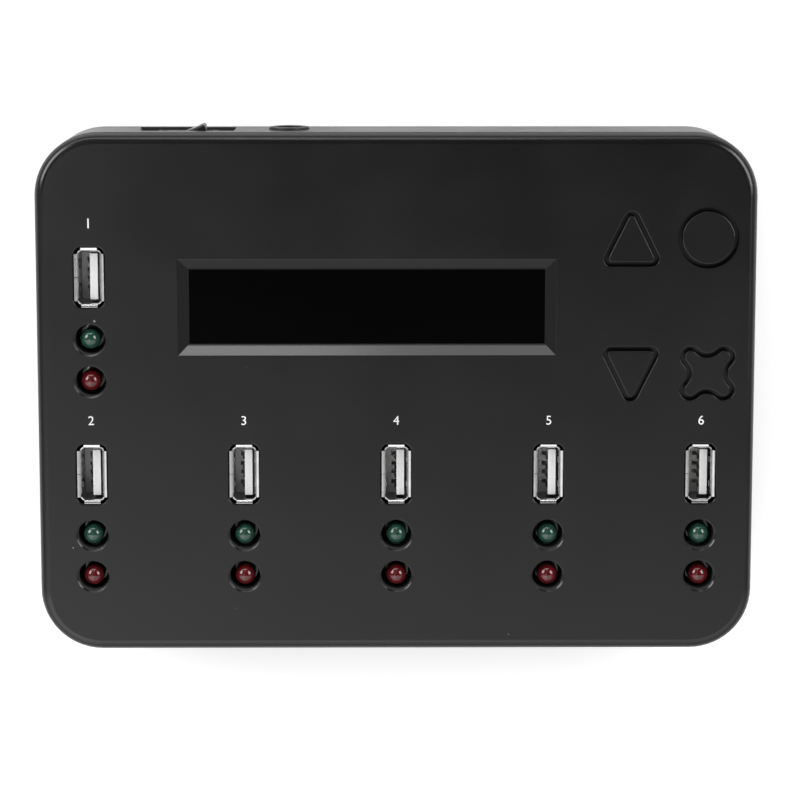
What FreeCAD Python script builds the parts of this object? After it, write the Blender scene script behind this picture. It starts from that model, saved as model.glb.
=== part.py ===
import FreeCAD, Part
import math
import os

# A standalone flash drive duplicator that lies flat on four rubber feet.
# Millimetres. X runs along the row of sockets, Y towards the rear wall with the
# power inlet, Z up from the surface the feet stand on.

# Housing
housing_width = 173.0
housing_depth = 125.7
corner_radius = 14.7
face_height = 32.0
foot_height = 2.0
wall = 2.4
floor_thickness = 2.2
face_edge_radius = 2.4
base_edge_radius = 1.5
hole_edge_radius = 0.25
seam_height = 25.0
seam_gap = 0.3
seam_edge_radius = 0.3
cover_overhang = 0.25
lip_thickness = 1.0
lip_depth = 1.6
lip_clearance = 0.1
ceiling = face_height - wall
floor_top = foot_height + floor_thickness
rear_wall = housing_depth / 2
root_overlap = 0.5
edge_find_slack = 0.01

# Ports: one source port above the left column, five target ports in a row
port_pitch = 36.9
target_row = -19.4
source_row = 28.6
port_columns = [port_pitch * step for step in (-2, -1, 0, 1, 2)]
ports = [(port_columns[0], source_row)] + [(column, target_row) for column in port_columns]
port_hole_width = 7.6
port_hole_length = 14.95
port_hole_radius = 2.2

# Main board, hung from the top cover
board_top = 18.2
board_thickness = 1.6
board_bottom = board_top - board_thickness
board_width = 161.0
board_depth = 114.0
board_corner_notch_x = 72.0
board_corner_notch_y = 48.0
lead_tail = 1.2
lead_hole_radius = 0.5

# Upright type A receptacle: a steel shell round a white insulator
shell_sheet = 0.3
shell_width = 5.72
shell_length = 13.14
shell_corner_radius = 0.9
shell_wall_top = 31.0
shell_lip_bend = 0.55
shell_lip_reach = 0.68
shell_side_lip_length = 11.4
shell_end_lip_length = 3.9
shell_window_width = 2.4
shell_window_bottom = 24.6
shell_window_top = 29.2
shell_finger_width = 1.4
shell_finger_top = 28.6
shell_finger_depth = 0.4
shell_finger_offset = 3.0
shell_finger_bend_share = 0.7
shell_seam_gap = 0.12
shell_tab_width = 2.5
slot_slack = 0.3
insulator_clearance = 0.05
insulator_base_height = 4.5
insulator_pocket_length = 1.2
insulator_pocket_width = 1.04
insulator_pocket_depth = 3.0
tongue_offset = 0.97
tongue_thickness = 1.84
tongue_width = 11.1
tongue_top = 29.2
tongue_groove_top = 28.9
contact_thickness = 0.25
contact_width = 1.0
contact_rows = (-3.5, -1.0, 1.0, 3.5)
contact_inset = 0.35
contact_bow = 0.62
contact_bow_start = 25.6
contact_bow_height = 27.2
contact_tip = 28.7
contact_hole_radius = 0.65

# Five millimetre lamps, each in a sleeved well of the top cover
green_drop = 15.05
red_drop = 25.25
lamp_radius = 2.5
lamp_tip = 31.8
lamp_length = 8.6
lamp_flange_radius = 2.9
lamp_flange_thickness = 1.0
lamp_lead_width = 0.5
lamp_lead_offset = 1.27
well_radius = 3.75
well_edge_width = 0.32
well_edge_depth = 0.24
sleeve_radius = 4.8
sleeve_bottom = 25.0

# Push buttons: the hole outlines, with the cap inset all round by the gap
up_place = (56.5, 37.8)
down_place = (56.6, 5.1)
round_place = (75.0, 38.1)
cross_place = (75.15, 5.2)
button_gap = 1.05
button_flange = 0.9
button_flange_top = 29.4
button_flange_thickness = 1.0
button_cap_edge = 0.25
button_stem_radius = 2.0
button_ring_radius = 2.9
button_ring_top = 30.4
triangle_half_width = 6.62
triangle_half_height = 6.65
triangle_corner_radius = 1.9
triangle_stem_offset = 1.8
round_hole_radius = 7.38
cross_lobe_offset = 4.0
cross_lobe_radius = 2.6
cross_waist_offset = 7.86

# Tact switches under the buttons
switch_size = 6.0
switch_height = 3.5
switch_bore_depth = 2.3
plunger_radius = 1.75
plunger_clearance = 0.05
plunger_top = 25.5
plunger_bottom = 20.2
switch_leg_width = 0.7
switch_leg_thickness = 0.3
switch_leg_row = 3.25
switch_leg_column = 2.25

# Display window and the character display behind it
window_x = -7.05
window_y = 21.3
window_opening_width = 85.8
window_opening_height = 18.0
window_bevel_width = 2.65
window_bevel_depth = 2.0
pane_width = 92.0
pane_height = 24.0
pane_thickness = 1.5
pane_rim = 1.2
pane_clearance = 0.15
display_board_width = 116.0
display_board_height = 37.0
display_board_top = 22.8
display_board_thickness = 1.6
display_board_bottom = display_board_top - display_board_thickness
display_hole_offset_x = 54.0
display_hole_offset_y = 16.0
display_frame_width = 97.0
display_frame_height = 26.5
display_frame_sheet = 0.5
display_frame_top = 27.9
display_view_width = 85.0
display_view_height = 18.6
display_glass_width = 93.0
display_glass_height = 23.0
display_glass_thickness = 2.2
display_tab_width = 3.0
display_tab_offset = 34.0
header_pins = 16
header_pitch = 2.54
header_offset_y = 16.0
header_body_height = 2.5
header_pin_width = 0.6
header_pin_rise = 0.8

# Screws and the bosses they hold
board_screw_places = [
    (-55.35, -46.0), (55.35, -46.0), (-55.35, -8.0), (55.35, -8.0), (-66.5, 51.0), (66.5, 51.0),
]
screw_spare_depth = 0.6
closing_screw_x = 76.5
closing_screw_y = 52.5
small_boss_radius = 2.6
small_pilot_radius = 1.1
small_shank_radius = 1.0
small_head_radius = 2.1
small_head_height = 1.2
small_screw_length = 6.3
small_pass_radius = 1.4
closing_boss_radius = 3.5
closing_post_radius = 4.0
closing_joint_height = 20.0
closing_pilot_radius = 1.5
closing_pass_radius = 1.7
closing_shank_radius = 1.4
closing_head_radius = 2.8
closing_head_height = 2.0
closing_head_seat = 12.0
closing_bore_radius = 3.2
closing_screw_end = 27.0
cross_recess_width = 0.6
cross_recess_share = 1.3
screw_head_share = 3.0

# Rubber feet
foot_radius = 6.0
foot_x = 64.0
foot_y = 41.0
foot_recess = 0.5
foot_edge_radius = 0.6

# Power rocker in a shallow recess of the rear wall
inlet_height = 12.3
rocker_x = -51.0
recess_width = 23.7
recess_height = 12.6
recess_depth = 2.0
recess_slope_x = 2.0
recess_slope_z = 0.85
recess_backing = 1.6
rocker_cutout_width = 13.5
rocker_cutout_height = 9.0
rocker_bezel_width = 15.0
rocker_bezel_height = 10.5
rocker_bezel_thickness = 1.4
rocker_bezel_edge = 0.4
rocker_body_width = 13.4
rocker_body_height = 8.9
rocker_body_depth = 13.0
rocker_cavity_width = 12.2
rocker_cavity_height = 7.7
rocker_cavity_depth = 9.0
paddle_half_width = 5.3
paddle_height = 7.4
paddle_pivot_depth = 3.0
paddle_lean = 11.0
paddle_face_below_wall = 0.55
paddle_side_depth = 2.6
paddle_heel_depth = 2.0
paddle_heel_width = 2.4
paddle_edge_radius = 0.6
pivot_radius = 1.0
pivot_clearance = 0.05
pivot_reach = 4.4
terminal_offset = 3.5
terminal_width = 0.6
terminal_height = 2.8
terminal_length = 6.0
terminal_root = 3.0
wire_radius = 0.7
wire_bend_radius = 3.0
wire_start_run = 2.0
board_notch_half_width = 10.5
board_notch_front = 40.5

# Power jack under the rear edge of the board
jack_x = -26.05
jack_opening_radius = 5.1
jack_nose_radius = 4.8
jack_nose_stand = 0.6
jack_nose_length = 4.3
jack_body_width = 9.6
jack_body_drop = 4.3
jack_body_length = 11.0
jack_bore_radius = 3.2
jack_bore_depth = 9.5
jack_pin_radius = 1.0
jack_pin_tip = 1.0
jack_pin_shank_radius = 0.8
jack_pin_tip_radius = 0.4
jack_rim_radius = 0.3
jack_spring_thickness = 0.3
jack_spring_width = 2.0
jack_spring_offset = 2.0
jack_spring_reach = 0.3
jack_tail_thickness = 0.4

# Parts soldered to the board
controller_size = 20.0
controller_height = 1.5
controller_place = (-20.0, 21.0)
chip_mark_radius = 0.5
chip_mark_inset = 1.5
chip_mark_depth = 0.2
memory_width = 22.2
memory_depth = 10.2
memory_height = 1.1
memory_place = (12.0, 21.0)
port_chip_width = 5.0
port_chip_depth = 6.2
port_chip_height = 1.5
port_chip_row = -4.0
crystal_length = 10.6
crystal_width = 4.6
crystal_height = 3.4
crystal_end_flat = 0.1
crystal_place = (-20.0, 2.0)
coil_size = 8.0
coil_height = 4.2
coil_places = [(-8.0, 48.0), (4.0, 48.0)]
capacitor_radius = 3.15
capacitor_height = 7.7
capacitor_places = [(-12.0, 28.0), (-2.0, 28.0), (18.0, 48.0), (28.0, 48.0)]
capacitor_base_size = 6.6
capacitor_base_height = 1.2
capacitor_edge_radius = 0.5


def vec(x, y, z):
    return FreeCAD.Vector(x, y, z)


def box(x0, x1, y0, y1, z0, z1):
    return Part.makeBox(x1 - x0, y1 - y0, z1 - z0, vec(x0, y0, z0))


def block(x, y, width, depth, z0, z1):
    return box(x - width / 2, x + width / 2, y - depth / 2, y + depth / 2, z0, z1)


def cylinder(x, y, radius, z0, z1):
    return Part.makeCylinder(radius, z1 - z0, vec(x, y, z0))


def heading(degrees):
    return vec(math.cos(math.radians(degrees)), math.sin(math.radians(degrees)), 0)


def moved(shape, x, y):
    copy = shape.copy()
    copy.translate(vec(x, y, 0))
    return copy


def outline_around(centres, radius, z):
    """A closed outline at one distance round a convex polygon, given counter-clockwise."""
    points = [vec(x, y, z) for x, y in centres]
    count = len(points)
    normals = []
    for index in range(count):
        run = points[(index + 1) % count] - points[index]
        normals.append(vec(run.y, -run.x, 0).normalize())
    edges = []
    for index in range(count):
        before, after = normals[index - 1], normals[index]
        middle = (before + after).normalize()
        corner = points[index]
        arc = Part.Arc(corner + before * radius, corner + middle * radius, corner + after * radius)
        edges.append(arc.toShape())
        end = points[(index + 1) % count] + after * radius
        edges.append(Part.LineSegment(corner + after * radius, end).toShape())
    return Part.Wire(edges)


def rounded_outline(x, y, width, depth, radius, z):
    half_x, half_y = width / 2 - radius, depth / 2 - radius
    corners = [(-1, -1), (1, -1), (1, 1), (-1, 1)]
    return outline_around([(x + a * half_x, y + b * half_y) for a, b in corners], radius, z)


def rise(outline, z1):
    """The solid between a flat outline and the height z1."""
    return Part.Face(outline).extrude(vec(0, 0, z1 - outline.BoundBox.ZMin))


def rounded_block(x, y, width, depth, radius, z0, z1):
    return rise(rounded_outline(x, y, width, depth, radius, z0), z1)


def housing_block(inset, z0, z1):
    """The housing's plan shape, drawn in from the outside by an inset."""
    width, depth = housing_width - 2 * inset, housing_depth - 2 * inset
    return rounded_block(0, 0, width, depth, corner_radius - inset, z0, z1)


def polygon_prism(points, direction):
    return Part.Face(Part.makePolygon(points + points[:1])).extrude(direction)


def flat_edges(shape, z, inside_x=None, inside_y=None):
    """Edges that lie in the plane at height z, within the stated distances of the middle."""
    chosen = []
    for edge in shape.Edges:
        bounds = edge.BoundBox
        level = abs(bounds.ZMin - z) < edge_find_slack and abs(bounds.ZMax - z) < edge_find_slack
        near_x = inside_x is None or max(abs(bounds.XMin), abs(bounds.XMax)) < inside_x
        near_y = inside_y is None or max(abs(bounds.YMin), abs(bounds.YMax)) < inside_y
        if level and near_x and near_y:
            chosen.append(edge)
    return chosen


def save(name, shapes):
    """Write one node: a single solid or a group of like ones."""
    shape = shapes[0] if len(shapes) == 1 else Part.makeCompound(shapes)
    shape.exportStep("parts/" + name + ".step")
    solids = len(shape.Solids)
    print(name, "solids", solids, "valid", shape.isValid(), "volume", round(shape.Volume, 2))


def triangle_outline(x, y, points_up, grow, z):
    """A button's rounded triangle; grow widens it from the size of its hole."""
    half_base = triangle_half_width - triangle_corner_radius
    half_height = triangle_half_height - triangle_corner_radius
    way = 1 if points_up else -1
    centres = [(-half_base, -half_height), (half_base, -half_height), (0, half_height)]
    placed = [(x + way * a, y + way * b) for a, b in centres]
    return outline_around(placed, triangle_corner_radius + grow, z)


def up_outline(x, y, grow, z):
    return triangle_outline(x, y, True, grow, z)


def down_outline(x, y, grow, z):
    return triangle_outline(x, y, False, grow, z)


def round_outline(x, y, grow, z):
    return Part.Wire([Part.makeCircle(round_hole_radius + grow, vec(x, y, z))])


def cross_outline(x, y, grow, z):
    """Four lobes on the diagonals, joined by hollow waists."""
    centre = vec(x, y, z)
    lobe_distance = cross_lobe_offset * math.sqrt(2)
    lobe_radius = cross_lobe_radius + grow
    waist_radius = math.hypot(cross_waist_offset - cross_lobe_offset, cross_lobe_offset) - lobe_radius
    edges = []
    for angle in (45, 135, 225, 315):
        lobe = centre + heading(angle) * lobe_distance
        next_lobe = centre + heading(angle + 90) * lobe_distance
        waist_before = centre + heading(angle - 45) * cross_waist_offset
        waist = centre + heading(angle + 45) * cross_waist_offset
        start = lobe + (waist_before - lobe).normalize() * lobe_radius
        end = lobe + (waist - lobe).normalize() * lobe_radius
        resume = next_lobe + (waist - next_lobe).normalize() * lobe_radius
        edges.append(Part.Arc(start, lobe + heading(angle) * lobe_radius, end).toShape())
        edges.append(Part.Arc(end, waist - heading(angle + 45) * waist_radius, resume).toShape())
    return Part.Wire(edges)


buttons = {
    "up_button": {"place": up_place, "outline": up_outline, "stem_shift": -triangle_stem_offset},
    "down_button": {"place": down_place, "outline": down_outline, "stem_shift": triangle_stem_offset},
    "round_button": {"place": round_place, "outline": round_outline, "stem_shift": 0},
    "cross_button": {"place": cross_place, "outline": cross_outline, "stem_shift": 0},
}


def stem_place(button):
    x, y = button["place"]
    return x, y + button["stem_shift"]


green_places = [(x, y - green_drop) for x, y in ports]
red_places = [(x, y - red_drop) for x, y in ports]
closing_screw_places = [
    (x, y) for x in (-closing_screw_x, closing_screw_x) for y in (-closing_screw_y, closing_screw_y)
]
foot_places = [(x, y) for x in (-foot_x, foot_x) for y in (-foot_y, foot_y)]
display_screw_places = [
    (window_x + x, window_y + y)
    for x in (-display_hole_offset_x, display_hole_offset_x)
    for y in (-display_hole_offset_y, display_hole_offset_y)
]
header_places = [
    (window_x + header_pitch * (index - (header_pins - 1) / 2), window_y + header_offset_y)
    for index in range(header_pins)
]


def window_cut():
    """The display opening: a mitred bevel down to a short straight lip."""
    outer_width = window_opening_width + 2 * window_bevel_width
    outer_height = window_opening_height + 2 * window_bevel_width
    wires = []
    bevel_foot = face_height - window_bevel_depth
    for width, height, z in (
        (window_opening_width, window_opening_height, bevel_foot), (outer_width, outer_height, face_height),
    ):
        corners = [(-1, -1), (1, -1), (1, 1), (-1, 1), (-1, -1)]
        points = [vec(window_x + a * width / 2, window_y + b * height / 2, z) for a, b in corners]
        wires.append(Part.makePolygon(points))
    bevel = Part.makeLoft(wires, True, True)
    opening = block(
        window_x, window_y, window_opening_width, window_opening_height, ceiling - root_overlap, bevel_foot,
    )
    return bevel.fuse(opening)


def pane_rim_ring():
    """A low rib on the underside of the face that locates the window pane."""
    inner_width, inner_height = pane_width + 2 * pane_clearance, pane_height + 2 * pane_clearance
    outer_width, outer_height = inner_width + 2 * pane_rim, inner_height + 2 * pane_rim
    z0, z1 = ceiling - pane_thickness, ceiling + root_overlap
    outer = block(window_x, window_y, outer_width, outer_height, z0, z1)
    return outer.cut(block(window_x, window_y, inner_width, inner_height, z0, z1))


def top_cover_additions():
    """The lip, rib, lamp sleeves and screw bosses under the face."""
    seam = seam_height + seam_gap / 2
    root = ceiling + root_overlap
    lip = housing_block(wall - lip_thickness, seam - lip_depth, seam + root_overlap)
    lip = lip.cut(housing_block(wall, seam - lip_depth, seam + root_overlap))
    added = [lip, pane_rim_ring()]
    for x, y in green_places + red_places:
        added.append(cylinder(x, y, sleeve_radius, sleeve_bottom, root))
    for x, y in board_screw_places:
        added.append(cylinder(x, y, small_boss_radius, board_top, root))
    for x, y in display_screw_places:
        added.append(cylinder(x, y, small_boss_radius, display_board_top, root))
    for x, y in closing_screw_places:
        added.append(cylinder(x, y, closing_boss_radius, closing_joint_height, root))
    return added


def lamp_wells():
    """The lamps' wells, each with a narrow sloping edge at the face."""
    wells = []
    for x, y in green_places + red_places:
        edge_foot = vec(x, y, face_height - well_edge_depth)
        edge = Part.makeCone(well_radius, well_radius + well_edge_width, well_edge_depth, edge_foot)
        wells += [cylinder(x, y, well_radius, sleeve_bottom, face_height), edge]
    return wells


def face_holes():
    """The openings through the face with rounded edges: window, sockets and buttons."""
    below = ceiling - root_overlap
    cuts = [window_cut()]
    for x, y in ports:
        cuts.append(
            rounded_block(x, y, port_hole_width, port_hole_length, port_hole_radius, below, face_height)
        )
    for button in buttons.values():
        x, y = button["place"]
        cuts.append(rise(button["outline"](x, y, 0, below), face_height))
    return cuts


def boss_pilots():
    board_end = board_bottom + small_screw_length + screw_spare_depth
    display_end = display_board_bottom + small_screw_length + screw_spare_depth
    closing_end = closing_screw_end + screw_spare_depth
    cuts = [cylinder(x, y, small_pilot_radius, board_top, board_end) for x, y in board_screw_places]
    cuts += [
        cylinder(x, y, small_pilot_radius, display_board_top, display_end) for x, y in display_screw_places
    ]
    cuts += [
        cylinder(x, y, closing_pilot_radius, closing_joint_height, closing_end)
        for x, y in closing_screw_places
    ]
    return cuts


def top_cover():
    """The face and its rim, which stands out a little past the bottom cover below it."""
    seam = seam_height + seam_gap / 2
    outer = housing_block(-cover_overhang, seam, face_height)
    outer = outer.makeFillet(face_edge_radius, flat_edges(outer, face_height))
    outer = outer.makeFillet(seam_edge_radius, flat_edges(outer, seam))
    shell = outer.cut(housing_block(wall, seam, ceiling))
    body = shell.fuse(top_cover_additions())
    body = body.cut(face_holes() + boss_pilots()).removeSplitter()
    rims = flat_edges(body, face_height, housing_width / 2 - 2 * wall, housing_depth / 2 - 2 * wall)
    return body.makeFillet(hole_edge_radius, rims).cut(lamp_wells())


def recess_cut():
    """The rocker's recess: a shallow pan with sloping ends in the rear wall."""
    floor = rear_wall - recess_depth
    wires = []
    for shrink, y in ((1, floor), (0, rear_wall)):
        half_x = recess_width / 2 - shrink * recess_slope_x
        half_z = recess_height / 2 - shrink * recess_slope_z
        corners = [(-1, -1), (1, -1), (1, 1), (-1, 1), (-1, -1)]
        points = [vec(rocker_x + a * half_x, y, inlet_height + b * half_z) for a, b in corners]
        wires.append(Part.makePolygon(points))
    return Part.makeLoft(wires, True, True)


def bottom_cover():
    rim_top = seam_height - seam_gap / 2
    outer = housing_block(0, foot_height, rim_top)
    outer = outer.makeFillet(base_edge_radius, flat_edges(outer, foot_height))
    outer = outer.makeFillet(seam_edge_radius, flat_edges(outer, rim_top))
    tray = outer.cut(housing_block(wall, floor_top, rim_top))
    rebate_bottom = seam_height + seam_gap / 2 - lip_depth - 2 * lip_clearance
    rebate = housing_block(wall - lip_thickness - lip_clearance, rebate_bottom, rim_top)
    tray = tray.cut(rebate)
    backing = box(
        rocker_x - recess_width / 2 - wall / 2, rocker_x + recess_width / 2 + wall / 2,
        rear_wall - wall - recess_backing, rear_wall - wall / 2,
        floor_top - root_overlap, inlet_height + recess_height / 2 + wall / 2,
    )
    added = [backing]
    for x, y in closing_screw_places:
        added.append(cylinder(x, y, closing_post_radius, floor_top - root_overlap, closing_joint_height))
    body = tray.fuse(added)
    cutout = box(
        rocker_x - rocker_cutout_width / 2, rocker_x + rocker_cutout_width / 2,
        rear_wall - 2 * wall - recess_backing, rear_wall,
        inlet_height - rocker_cutout_height / 2, inlet_height + rocker_cutout_height / 2,
    )
    cuts = [recess_cut(), cutout]
    opening_start = vec(jack_x, rear_wall - 2 * wall, inlet_height)
    cuts.append(Part.makeCylinder(jack_opening_radius, 2 * wall, opening_start, vec(0, 1, 0)))
    for x, y in closing_screw_places:
        cuts.append(cylinder(x, y, closing_pass_radius, foot_height, closing_joint_height))
        cuts.append(cylinder(x, y, closing_bore_radius, foot_height, closing_head_seat))
    for x, y in foot_places:
        cuts.append(cylinder(x, y, foot_radius, foot_height, foot_height + foot_recess))
    return body.cut(cuts).removeSplitter()


def display_window():
    return block(window_x, window_y, pane_width, pane_height, ceiling - pane_thickness, ceiling)


def rubber_foot(x, y):
    foot = cylinder(x, y, foot_radius, 0, foot_height + foot_recess)
    return foot.makeFillet(foot_edge_radius, flat_edges(foot, 0))


def screw(x, y, head_radius, head_height, seat, shank_radius, end):
    """A pan head screw driven upwards; its head stands below the seat."""
    crown = seat - head_height
    third = head_height / screw_head_share
    head = cylinder(x, y, head_radius, crown, seat)
    head = head.makeFillet(third, flat_edges(head, crown))
    body = head.fuse(cylinder(x, y, shank_radius, seat - third, end))
    recess_length = cross_recess_share * head_radius
    z0, z1 = crown, seat - head_height / 2
    along_x = block(x, y, recess_length, cross_recess_width, z0, z1)
    along_y = block(x, y, cross_recess_width, recess_length, z0, z1)
    return body.cut([along_x, along_y]).removeSplitter()


def cover_screw(x, y):
    seat = closing_head_seat
    return screw(
        x, y, closing_head_radius, closing_head_height, seat, closing_shank_radius, closing_screw_end,
    )


def small_screw(x, y, seat):
    end = seat + small_screw_length
    return screw(x, y, small_head_radius, small_head_height, seat, small_shank_radius, end)


def display_glass():
    top = display_frame_top - display_frame_sheet
    bottom = top - display_glass_thickness
    return block(window_x, window_y, display_glass_width, display_glass_height, bottom, top)


def display_backlight():
    top = display_frame_top - display_frame_sheet - display_glass_thickness
    return block(window_x, window_y, display_glass_width, display_glass_height, display_board_top, top)


def display_tab_places():
    half_height = display_frame_height / 2 - display_frame_sheet / 2
    return [
        (window_x + x, window_y + y)
        for x in (-display_tab_offset, display_tab_offset)
        for y in (-half_height, half_height)
    ]


def display_frame():
    """The pressed metal frame that clamps the display glass to its board."""
    top, sheet = display_frame_top, display_frame_sheet
    outer = block(window_x, window_y, display_frame_width, display_frame_height, display_board_top, top)
    hollow_width = display_frame_width - 2 * sheet
    hollow_height = display_frame_height - 2 * sheet
    hollow = block(window_x, window_y, hollow_width, hollow_height, display_board_top, top - sheet)
    view = block(window_x, window_y, display_view_width, display_view_height, top - sheet, top)
    tabs = [
        block(x, y, display_tab_width, sheet, display_board_bottom - sheet, display_board_top + sheet)
        for x, y in display_tab_places()
    ]
    return outer.cut([hollow, view]).fuse(tabs).removeSplitter()


def display_board():
    z0, z1 = display_board_bottom, display_board_top
    board = block(window_x, window_y, display_board_width, display_board_height, z0, z1)
    cuts = [cylinder(x, y, small_pass_radius, z0, z1) for x, y in display_screw_places]
    cuts += [cylinder(x, y, lead_hole_radius, z0, z1) for x, y in header_places]
    slot_length, slot_width = display_tab_width + 2 * slot_slack, display_frame_sheet + 2 * slot_slack
    cuts += [block(x, y, slot_length, slot_width, z0, z1) for x, y in display_tab_places()]
    return board.cut(cuts)


def header_strip():
    """The plastic strip that holds the pins between the two boards."""
    length = header_pins * header_pitch
    z0, z1 = board_top, board_top + header_body_height
    strip = block(window_x, window_y + header_offset_y, length, header_pitch, z0, z1)
    return strip.cut([block(x, y, header_pin_width, header_pin_width, z0, z1) for x, y in header_places])


def header_pin(x, y):
    z0, z1 = board_bottom - lead_tail, display_board_top + header_pin_rise
    return block(x, y, header_pin_width, header_pin_width, z0, z1)


def usb_shell():
    """A steel shell folded to meet in a seam, with flared lips, spring fingers and solder tabs."""
    sheet = shell_sheet
    inner_width, inner_length = shell_width - 2 * sheet, shell_length - 2 * sheet
    inner_radius = shell_corner_radius - sheet
    tube = rounded_block(0, 0, shell_width, shell_length, shell_corner_radius, board_top, shell_wall_top)
    tube = tube.cut(rounded_block(0, 0, inner_width, inner_length, inner_radius, board_top, shell_wall_top))
    windows, added = [], []
    for side in (-1, 1):
        for row in (-shell_finger_offset, shell_finger_offset):
            edge = side * shell_width / 2
            windows.append(
                box(
                    min(edge, edge - side * sheet), max(edge, edge - side * sheet),
                    row - shell_window_width / 2, row + shell_window_width / 2,
                    shell_window_bottom, shell_window_top,
                )
            )
            added.append(spring_finger(side, row))
    for side in (-1, 1):
        added.append(mouth_lip(shell_width / 2, shell_side_lip_length, 90 - 90 * side))
        added.append(mouth_lip(shell_length / 2, shell_end_lip_length, 90 * side))
        y = side * (shell_length / 2 - sheet / 2)
        added.append(block(0, y, shell_tab_width, sheet, board_bottom - lead_tail, board_top + root_overlap))
    seam_reach = shell_width / 2 + shell_lip_bend + shell_lip_reach
    seam = box(
        -seam_reach, sheet - inner_width / 2, -shell_seam_gap / 2, shell_seam_gap / 2,
        board_top, shell_wall_top + seam_reach,
    )
    return tube.cut(windows).fuse(added).cut(seam).removeSplitter()


def spring_finger(side, row):
    """A strip cut free in the shell's side wall and sprung inwards."""
    outside = shell_width / 2
    bend = shell_window_bottom + shell_finger_bend_share * (shell_finger_top - shell_window_bottom)
    depth = shell_finger_depth
    root = shell_window_bottom - shell_sheet
    heights = [(0, root), (0, shell_window_bottom), (depth, bend), (depth / 2, shell_finger_top)]
    front = [(outside - inward, z) for inward, z in heights]
    back = [(outside - inward - shell_sheet, z) for inward, z in reversed(heights)]
    points = [vec(side * x, row - shell_finger_width / 2, z) for x, z in front + back]
    return polygon_prism(points, vec(0, shell_finger_width, 0))


def mouth_lip(distance, length, turn):
    """One flared lip of the shell's mouth; distance is from the middle to the wall's outside."""
    inner, outer = shell_lip_bend, shell_lip_bend + shell_sheet
    z = shell_wall_top
    x = distance + inner
    tip = distance + shell_lip_reach
    diagonal = math.sqrt(0.5)
    y = -length / 2
    edges = [
        Part.Arc(
            vec(x - outer, y, z), vec(x - outer * diagonal, y, z + outer * diagonal), vec(x, y, z + outer)
        ).toShape(),
        Part.LineSegment(vec(x, y, z + outer), vec(tip, y, z + outer)).toShape(),
        Part.LineSegment(vec(tip, y, z + outer), vec(tip, y, z + inner)).toShape(),
        Part.LineSegment(vec(tip, y, z + inner), vec(x, y, z + inner)).toShape(),
        Part.Arc(
            vec(x, y, z + inner), vec(x - inner * diagonal, y, z + inner * diagonal), vec(x - inner, y, z)
        ).toShape(),
        Part.LineSegment(vec(x - inner, y, z), vec(x - outer, y, z)).toShape(),
    ]
    lip = Part.Face(Part.Wire(edges)).extrude(vec(0, length, 0))
    lip.rotate(vec(0, 0, 0), vec(0, 0, 1), turn)
    return lip


def contact_x():
    """The middle of a contact strip, let into the tongue's near face."""
    return tongue_offset - tongue_thickness / 2 + contact_inset - contact_thickness / 2


def usb_insulator():
    """The white insulator: a base with a pocket before each contact, and the tongue above it."""
    clearance = shell_sheet + insulator_clearance
    base_top = board_top + insulator_base_height
    width, length = shell_width - 2 * clearance, shell_length - 2 * clearance
    base = rounded_block(0, 0, width, length, shell_corner_radius - clearance, board_top, base_top)
    tongue = block(tongue_offset, 0, tongue_thickness, tongue_width, base_top - root_overlap, tongue_top)
    bed = contact_x() + contact_thickness / 2
    tongue_face = tongue_offset - tongue_thickness / 2
    pocket_half = insulator_pocket_width / 2
    grooves = []
    for row in contact_rows:
        half = contact_width / 2 + insulator_clearance
        channel_start = contact_x() - contact_thickness / 2 - insulator_clearance
        grooves.append(box(channel_start, bed, row - half, row + half, board_top, base_top))
        open_face = tongue_face - root_overlap
        grooves.append(box(open_face, bed, row - half, row + half, base_top, tongue_groove_top))
        grooves.append(
            box(
                tongue_face - insulator_pocket_length, tongue_face, row - pocket_half, row + pocket_half,
                base_top - insulator_pocket_depth, base_top,
            )
        )
    return base.fuse(tongue).cut(grooves).removeSplitter()


def usb_contact(row):
    """A spring contact: straight up the groove, bowed out near the tongue's end."""
    middle = contact_x()
    half = contact_thickness / 2
    line = [
        (middle, board_bottom - lead_tail), (middle, contact_bow_start),
        (middle - contact_bow, contact_bow_height), (middle, contact_tip),
    ]
    left = [(x - half, z) for x, z in line]
    right = [(x + half, z) for x, z in reversed(line)]
    points = [vec(x, row - contact_width / 2, z) for x, z in left + right]
    return polygon_prism(points, vec(0, contact_width, 0))


def lamp(x, y):
    """A round-nosed lamp with a flange that is flat on one side."""
    base = lamp_tip - lamp_length
    shoulder = base + lamp_flange_thickness
    dome = lamp_tip - lamp_radius
    diagonal = lamp_radius * math.sqrt(0.5)
    corners = [
        (0, base), (lamp_flange_radius, base), (lamp_flange_radius, shoulder), (lamp_radius, shoulder),
        (lamp_radius, dome),
    ]
    points = [vec(x + radius, y, z) for radius, z in corners]
    edges = [Part.LineSegment(start, end).toShape() for start, end in zip(points, points[1:])]
    tip = vec(x, y, lamp_tip)
    edges.append(Part.Arc(points[-1], vec(x + diagonal, y, dome + diagonal), tip).toShape())
    edges.append(Part.LineSegment(tip, points[0]).toShape())
    body = Part.Face(Part.Wire(edges)).revolve(vec(x, y, 0), vec(0, 0, 1), 360)
    reach = 2 * lamp_flange_radius
    flat = box(x - reach, x - lamp_radius, y - reach, y + reach, base, shoulder)
    return body.cut(flat)


def lamp_leads(x, y, z0, z1):
    """A lamp's two square leads between two heights."""
    return [
        block(x + side * lamp_lead_offset, y, lamp_lead_width, lamp_lead_width, z0, z1) for side in (-1, 1)
    ]


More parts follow.
